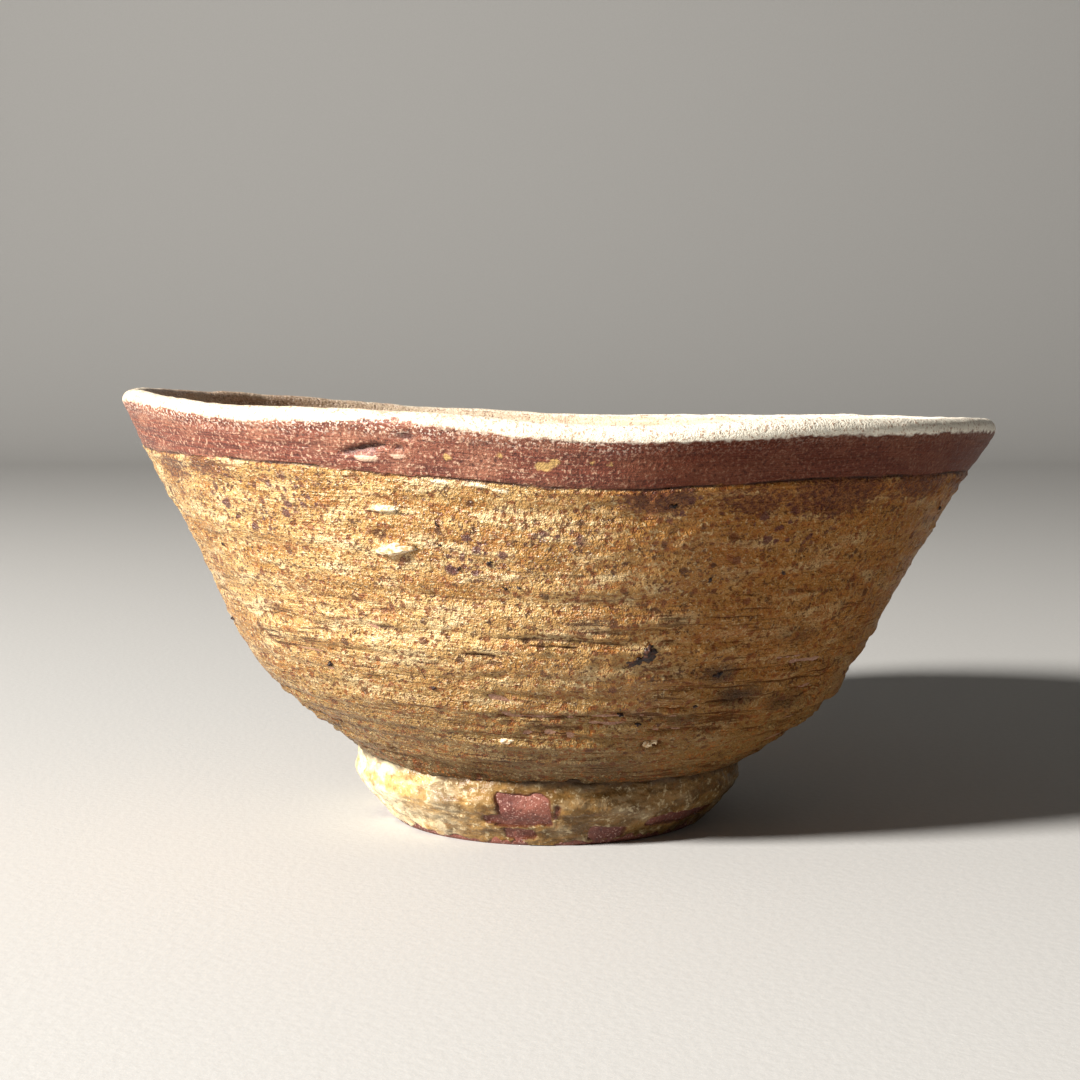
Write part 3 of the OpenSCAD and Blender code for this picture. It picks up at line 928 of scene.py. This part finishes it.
def straw_paint(f, inside):
    """The straw-coloured ash glaze: colour, roughness, fine height in millimetres and specular."""
    lines = f.along(0.0)
    cloud = f.noise(9, 3, (1, 1, 0.5), shift=1)
    # Painted shade: on the bowl's right, where the outside is turned from the key light, the glaze is darker
    # and browner, with less cream; the inside takes less of it.
    right = f.edge(f.across(), cloud, 34, 8, 46)
    colour = f.mix(f.edge(cloud, right, -0.16, 0.36, 0.60), OCHRE, STRAW)
    colour = f.mix(f.times(right, 0.25 if inside else 0.65), colour, SHADED)
    pale = f.noise(4.5, 3, (1.8, 1.8, 0.5), shift=2)
    colour = f.mix(f.times(f.step(pale, 0.48, 0.68, 0.8), f.less(right, 0.65)), colour, CREAM)
    rust = f.noise(2.2, 3, (2.0, 2.0, 0.6), shift=3)
    colour = f.mix(f.edge(rust, right, 0.05, 0.53, 0.70, 0.55), colour, ORANGE)
    # Lower down the glaze turns darker and greyer.
    low = f.edge(f.given("down"), cloud, 14, 36, 62, 0.0 if inside else 0.74)
    colour = f.mix(low, colour, OLIVE)
    # Painted shade: a dark band just above the foot, where the bowl meets it.
    deep = f.edge(f.given("down"), cloud, 9, 61, 70, 0.0 if inside else 0.80)
    colour = f.mix(deep, colour, DEEP_JOINT_SHADE)
    # Speckle, a few tenths of a millimetre across.
    fine = f.noise(0.60, 2, rough=0.8, shift=4)
    # Fewer pale flecks on the right, part of the painted shade there.
    light = f.times(f.step(fine, 0.53, 0.66, 0.75), f.less(right, 0.6), f.less(low, 0.6))
    colour = f.mix(light, colour, LIGHT_SPECK)
    dark = f.noise(0.80, 2, rough=0.8, shift=5)
    colour = f.mix(f.step(dark, 0.51, 0.62, 0.90), colour, f.mix(f.step(rust, 0.4, 0.6), UMBER, ORANGE))
    # Rusty freckles.
    shaken = f.mm_shaken(0.4)
    freckles = f.math("MAXIMUM", f.dots(1.5, 0.75, 0.38, shaken), f.dots(0.85, 0.55, 0.36, shaken))
    colour = f.mix(f.times(freckles, 0.80), colour, FRECKLE)
    # Dry streaks in the drag lines.
    streak = f.noise(0.34, 2, (26, 26, 1), lines, shift=6)
    broad = f.noise(0.8, 3, (12, 12, 1), lines, shift=20)
    gate = f.noise(6, 2, (1.8, 1.8, 0.7), shift=7)
    depth = f.step(f.given("down"), 12, 32, 1.0, 0.15)
    drag = f.times(f.step(streak, 0.53, 0.60), f.step(gate, 0.44, 0.55), f.step(broad, 0.42, 0.56), depth)
    for name, low_cut, high_cut, other, low_other, high_other in (("groove", 0.25, 0.80, streak, 0.42, 0.54),
                                                                  ("pit", 0.15, 0.6, dark, 0.35, 0.5)):
        dry = f.times(f.step(f.given(name), low_cut, high_cut), f.step(other, low_other, high_other), 0.95)
        drag = f.math("MAXIMUM", drag, dry)
    colour = f.mix(f.times(drag, 0.88), colour, UMBER)
    # Spots burnt through the glaze.
    ragged = f.mm_shaken(0.5)
    spots = f.math("MAXIMUM", f.dots(2.3, 0.35, 0.34, ragged),
                   f.times(f.dots(1.25, 0.35, 0.32, ragged), 0.8))
    colour = f.mix(f.times(spots, 0.85), colour, f.mix(f.step(gate, 0.4, 0.6), UMBER, RUST_SPOT))
    blots = f.math("MAXIMUM", f.dots(2.2, 0.8, 0.44, ragged), f.dots(1.2, 0.7, 0.38, ragged))
    cluster = f.times(blots, f.edge(f.given("speckled"), dark, 0.4, 0.22, 0.60))
    colour = f.mix(f.times(cluster, 0.90), colour, PURPLE_BROWN)
    smudge = f.times(f.given("smudge"), f.step(f.noise(1.4, 3, (2, 2, 0.8), shift=9), 0.28, 0.50))
    colour = f.mix(f.times(smudge, 0.88), colour, GREY_BROWN)
    colour = f.mix(f.edge(f.given("pale"), dark, 0.6, 0.45, 0.85, 0.85), colour, RAISED_CREAM)
    # Iron washed down out of the band.
    runs = f.noise(0.8, 4, (1.7, 1.7, 0.8), rough=0.75, shift=10)
    stain = f.edge(f.given("stain"), runs, 3.0, 1.75, 2.15)
    colour = f.mix(f.times(stain, 0.9), colour, f.mix(f.step(fine, 0.4, 0.6), *STAIN))
    rough = f.plus(0.15, f.times(fine, 0.25), f.times(cloud, 0.12), f.times(drag, 0.5))
    height = f.plus(f.times(fine, 0.56), f.times(dark, -0.46), f.times(f.noise(0.28, 1, shift=11), 0.12),
                    f.times(streak, -0.24), f.times(broad, -0.26), f.times(spots, -0.05),
                    f.times(pale, 0.16))
    # Less shine on the right, part of the painted shade there, and lower down.
    return colour, rough, height, f.times(0.55, f.less(right, 0.85), f.less(low, 0.8))


def iron_paint(f, inside):
    """The brushed iron slip under a thin glaze, with painted shade on the outside's right, and washed out on
    the inside with painted light on its right: as straw_paint().
    """
    lines = f.along(40.0)
    brushed = f.noise(0.30, 3, (24, 24, 1), lines, shift=12)
    patches = f.noise(4.5, 3, (1.6, 1.6, 0.7), shift=13)
    across = f.across()
    # Painted shade on the right: darker iron outside, fewer pale grit flecks and glints, less shine.
    right = f.edge(across, patches, 16, 0, 26)
    low, high, patch, pale_grit, dark_grit = IRON_INSIDE if inside else IRON_OUTSIDE
    colour = f.mix(f.step(brushed, 0.34, 0.62), low, high)
    colour = f.mix(f.step(patches, 0.42, 0.66, 0.6), colour, patch)
    if inside:
        # The inner band is a thin iron wash; its paler wash from the middle rightwards, where the key light
        # falls inside, and its browner far left, in shade, are painted light and shade.
        washed = f.edge(across, patches, 12, -46, -26, 0.8)
        thin = f.step(f.noise(1.6, 3, (5, 5, 0.8), lines, rough=0.65, shift=29), 0.40, 0.60, 1.0, 0.45)
        colour = f.mix(f.times(washed, thin), colour, WASHED_AND_LIT_IRON)
    else:
        # Painted shade: the outer band darkens towards the right.
        colour = f.mix(f.times(right, 0.75), colour, SHADED_IRON)
    fine = f.noise(0.5, 2, rough=0.75, shift=14)
    colour = f.mix(f.times(f.step(fine, 0.53, 0.66, 0.75), f.less(right, 0.8)), colour, pale_grit)
    colour = f.mix(f.step(fine, 0.46, 0.34, 0.8), colour, dark_grit)
    # Painted glints: pale flecks near the lip, fewer on the shaded right, stand in for light glinting off
    # the grit.
    iron_glints = f.step(f.noise(0.42, 1, rough=0.7, shift=28), 0.53, 0.64)
    near_lip = f.edge(f.given("down"), patches, 4.0, 4.2, 1.4)
    colour = f.mix(f.times(iron_glints, near_lip, f.less(right, 0.7, 0.9)), colour, PAINTED_IRON_GLINT)
    golden = f.edge(f.given("gold"), f.noise(0.8, 3, shift=15), 1.4, 0.95, 1.40)
    colour = f.mix(f.times(golden, 0.85), colour, GOLDEN)
    colour = f.mix(f.step(f.given("pit"), 0.2, 0.75, 0.75), colour, IRON_PIT)
    colour = f.mix(f.edge(f.given("pale"), fine, 0.8, 0.65, 1.0, 0.75), colour, IRON_RAISED)
    rough = f.plus(0.28, f.times(brushed, 0.22), f.times(patches, 0.15))
    height = f.plus(f.times(brushed, 0.16), f.times(fine, 0.24))
    return colour, rough, height, f.times(0.5, f.less(right, 0.8))


def pale_paint(f):
    """The thick pale glaze over the lip: colour, roughness and fine height in millimetres."""
    cloud = f.noise(2.6, 3, (2, 2, 1), shift=16)
    colour = f.mix(f.step(cloud, 0.48, 0.70, 0.8), PALE, PINK)
    # Painted light: the lip turns whiter towards the right, for light on its top there.
    colour = f.mix(f.edge(f.across(), cloud, 30, 0, 40, 0.8), colour, LIT_LIP_WHITE)
    fine = f.noise(0.5, 2, rough=0.8, shift=17)
    colour = f.mix(f.step(fine, 0.53, 0.64, 0.8), colour, BROWN_SPECK)
    colour = f.mix(f.step(fine, 0.44, 0.34, 0.8), colour, PALE_SPECK)
    rough = f.plus(0.25, f.times(fine, 0.25))
    height = f.plus(f.times(fine, 0.22), f.times(cloud, 0.16))
    return colour, rough, height


def skin_material(name, inside=False):
    """All three of the bowl's coats, each where it lies, with ragged edges between them."""
    f = Finish(name)
    ragged = f.plus(f.times(f.noise(0.9, 3, (1.6, 1.6, 0.9), shift=18), 1.5), -0.75)
    straw, iron, pale = straw_paint(f, inside), iron_paint(f, inside), pale_paint(f)
    in_glaze = f.step(f.plus(f.given("to_glaze"), ragged), -0.18, 0.18)
    in_iron = f.edge(f.given("to_iron"), ragged, 1.15, -0.32, 0.28)
    body = f.mix(in_glaze, iron[0], straw[0])
    rough, height, shine = (f.blend(in_glaze, iron[i], straw[i]) for i in (1, 2, 3))
    # A thin dark line where the straw glaze stops short of the iron.
    line = f.times(f.step(f.math("ABSOLUTE", f.plus(f.given("to_glaze"), 0.05)), 0.30, 0.08),
                   f.step(f.noise(6, 1, shift=19), 0.40, 0.55))
    body = f.mix(f.times(line, 0.8), body, GAP)
    colour = f.mix(in_iron, pale[0], body)
    rough = f.blend(in_iron, pale[1], rough)
    height = f.blend(in_iron, pale[2], height)
    return f.finish(colour, rough, height, specular=f.blend(in_iron, 0.45, shine))


def foot_glaze_material():
    """The foot's mottled glaze, dark round its bare marks, with painted shade on its right and under the
    seam.
    """
    f = Finish("foot_glaze_finish")
    cloud = f.noise(4, 3, (1.5, 1.5, 0.8), shift=31)
    # Painted light and shade: creamier with fewer mottles on the left, where the key light falls, darker on
    # the right, with less shine.
    right = f.edge(f.across(), cloud, 24, -18, 6)
    colour = f.mix(f.edge(cloud, right, -0.14, 0.34, 0.50), HONEY, FOOT_CREAM)
    colour = f.mix(f.step(f.noise(3.2, 3, shift=32), 0.52, 0.66, 0.6), colour, STRAW)
    colour = f.mix(f.times(right, 0.85), colour, FOOT_SHADED)
    mottle = f.step(f.noise(2.8, 3, (1.8, 1.8, 0.7), rough=0.65, shift=33), 0.47, 0.56, 0.88)
    colour = f.mix(f.times(mottle, f.less(right, -0.75, 0.25)), colour, FOOT_MOTTLE)
    fine = f.noise(1.0, 3, rough=0.7, shift=34)
    colour = f.mix(f.times(f.step(fine, 0.54, 0.66, 0.7), f.less(right, 0.4)), colour, FOOT_SPECK)
    colour = f.mix(f.step(fine, 0.46, 0.34, 0.6), colour, FOOT_RUST)
    rim = f.edge(f.given("bare"), f.noise(1.1, 3, shift=35), 0.5, 0.30, 0.70)
    colour = f.mix(f.times(rim, 0.85), colour, FOOT_RIM)
    # Painted shade: the foot glaze darkens just under the seam, below the bowl's overhang.
    seam = f.edge(f.given("under_seam"), f.noise(2.5, 2, shift=36), 2.4, 3.2, 1.6)
    colour = f.mix(f.times(seam, 0.88), colour, PAINTED_SEAM_SHADE)
    rough = f.plus(0.18, f.times(fine, 0.3))
    height = f.plus(f.times(fine, 0.30), f.times(cloud, 0.5), f.times(f.noise(0.4, 1, shift=37), 0.05))
    return f.finish(colour, rough, height, specular=f.times(0.55, f.less(right, 0.7)))


def clay_material(name, base, lit, dark):
    """Bare fired clay, iron red, with pale flecks painted as glints."""
    f = Finish(name)
    cloud = f.noise(6, 3, shift=41)
    colour = f.mix(f.step(cloud, 0.38, 0.64), base, lit)
    fine = f.noise(0.6, 3, rough=0.7, shift=42)
    colour = f.mix(f.step(fine, 0.46, 0.34, 0.8), colour, dark)
    # Painted glints: pale flecks.
    glint = f.step(f.noise(0.35, 1, rough=0.7, shift=44), 0.57, 0.70, 0.7)
    colour = f.mix(glint, colour, CLAY_GLINT)
    rough = f.plus(0.45, f.times(fine, 0.35))
    height = f.plus(f.times(fine, 0.18), f.times(cloud, 0.2), f.times(f.noise(0.3, 1, shift=43), 0.06))
    return f.finish(colour, rough, height)


def lump_material(name, shift, colours, low, high, roughness, bump, specular):
    """A spot's or a grain's finish: fine noise between two colours."""
    f = Finish(name)
    fine = f.noise(0.5, 3, shift=shift)
    colour = f.mix(f.step(fine, low, high), *colours)
    rough = f.plus(roughness, f.times(fine, 0.3))
    return f.finish(colour, rough, f.times(fine, bump), specular=specular)


# ---- the pieces

def settle(piece, material, slot, *nodes):
    """Gives a piece its material, lets it ride on the bowl and stand for its CAD nodes."""
    piece.data.materials.append(material)
    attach(piece, "root")
    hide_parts(*nodes)


settle(wall_piece(), clay_material("bowl_clay_finish", *BOWL_CLAY), "bowl_clay", "bowl_wall")
settle(foot_clay_piece(), clay_material("foot_clay_finish", *FOOT_CLAY), "foot_clay", "foot_ring")
settle(coat("glaze_outside", band_edge, foot_joint(FOOT_R - 0.9), 118), skin_material("straw_glaze_finish"),
       "straw_glaze", "outer_glaze")
settle(coat("iron_outside", lip_edge, band_edge, 20), skin_material("outer_iron_finish"),
       "iron_slip", "outer_iron_band")
settle(coat("glaze_lip", inner_lip_edge, lip_edge, 16), skin_material("pale_glaze_finish"),
       "pale_glaze", "lip_glaze")
settle(coat("iron_inside", inner_band_edge, inner_lip_edge, 20), skin_material("inner_iron_finish", True),
       "inner_iron_slip", "inner_iron_band")
settle(inner_glaze_piece(), skin_material("inner_glaze_finish", True), "inner_glaze", "inner_glaze")
settle(foot_glaze_piece(), foot_glaze_material(), "foot_glaze", "foot_glaze")
settle(spots_piece(), lump_material("iron_spot_finish", 51, IRON_SPOT, 0.40, 0.65, 0.28, 0.2, 0.3),
       "iron_spot", "iron_spots")
settle(grains_piece(), lump_material("stone_grain_finish", 61, STONE, 0.36, 0.60, 0.34, 0.16, 0.5),
       "stone_grain", "stone_grains")


# ---- floor, light and camera

def floor_piece():
    """A plain pale floor that sweeps up far behind the bowl, in metres."""
    radius, far, high, wide = 0.5, 1.6, 2.6, 3.0
    profile = [(-3.0, 0.0)]
    profile += [(y, 0.0) for y in np.linspace(-2.5, far - radius, 12)]
    profile += [(far - radius + radius * math.sin(a), radius - radius * math.cos(a))
                for a in np.linspace(0.1, PI / 2, 14)]
    profile.append((far, high))
    columns = np.linspace(-wide, wide, 9)
    points = [(float(x), float(y), float(z)) for y, z in profile for x in columns]
    count = len(columns)
    faces = [(r * count + c, r * count + c + 1, (r + 1) * count + c + 1, (r + 1) * count + c)
             for r in range(len(profile) - 1) for c in range(count - 1)]
    mesh = smooth_mesh("floor", points, faces)
    f = Finish("floor_finish")
    fine = f.noise(1.2, 2, shift=71)
    mesh.materials.append(f.finish(f.mix(fine, *FLOOR), 0.85, f.times(fine, 0.05), specular=0.2))
    return in_scene("floor", mesh)


def lamp(name, size, power, place_at, aim, colour):
    """A round soft lamp."""
    data = bpy.data.lights.new(name, "AREA")
    data.shape = "DISK"
    data.size = size
    data.energy = power
    data.color = colour
    light = in_scene(name, data)
    light.location = place_at
    light.rotation_euler = (Vector(aim) - Vector(place_at)).to_track_quat("-Z", "Y").to_euler()


def around(turn_deg, lift_deg, distance):
    """A place at an angle round the bowl from its front, a lift over the floor and a distance."""
    turn, lift = math.radians(turn_deg), math.radians(lift_deg)
    return (distance * math.cos(lift) * math.sin(turn), -distance * math.cos(lift) * math.cos(turn),
            distance * math.sin(lift) + AIM[2])


AIM = (0, 0, 0.03)  # the middle of the bowl
WARM = (1.0, 0.965, 0.91)
SKY, SKY_STRENGTH = (1.0, 0.95, 0.88, 1), 0.09
CAMERA_AT = (-0.00276, -0.310, 0.0712)  # fitted to the bowl's outline in the photograph
CAMERA_DOWN = 5.1  # degrees under the level
LENS, SENSOR = 64.9, 36.0

floor_piece()
lamp("key", 0.20, 50.0, around(-54, 28, 1.3), AIM, WARM)

world = bpy.data.worlds.new("studio")
bpy.context.scene.world = world
world.use_nodes = True
world.node_tree.nodes["Background"].inputs[0].default_value = SKY
world.node_tree.nodes["Background"].inputs[1].default_value = SKY_STRENGTH

camera_data = bpy.data.cameras.new("camera")
camera_data.sensor_width = SENSOR
camera_data.lens = LENS
camera_data.clip_start = 0.01
camera = in_scene("camera", camera_data)
camera.location = CAMERA_AT
camera.rotation_euler = (math.radians(90 - CAMERA_DOWN), 0, 0)
bpy.context.scene.camera = camera
bpy.context.scene.view_settings.view_transform = "Standard"
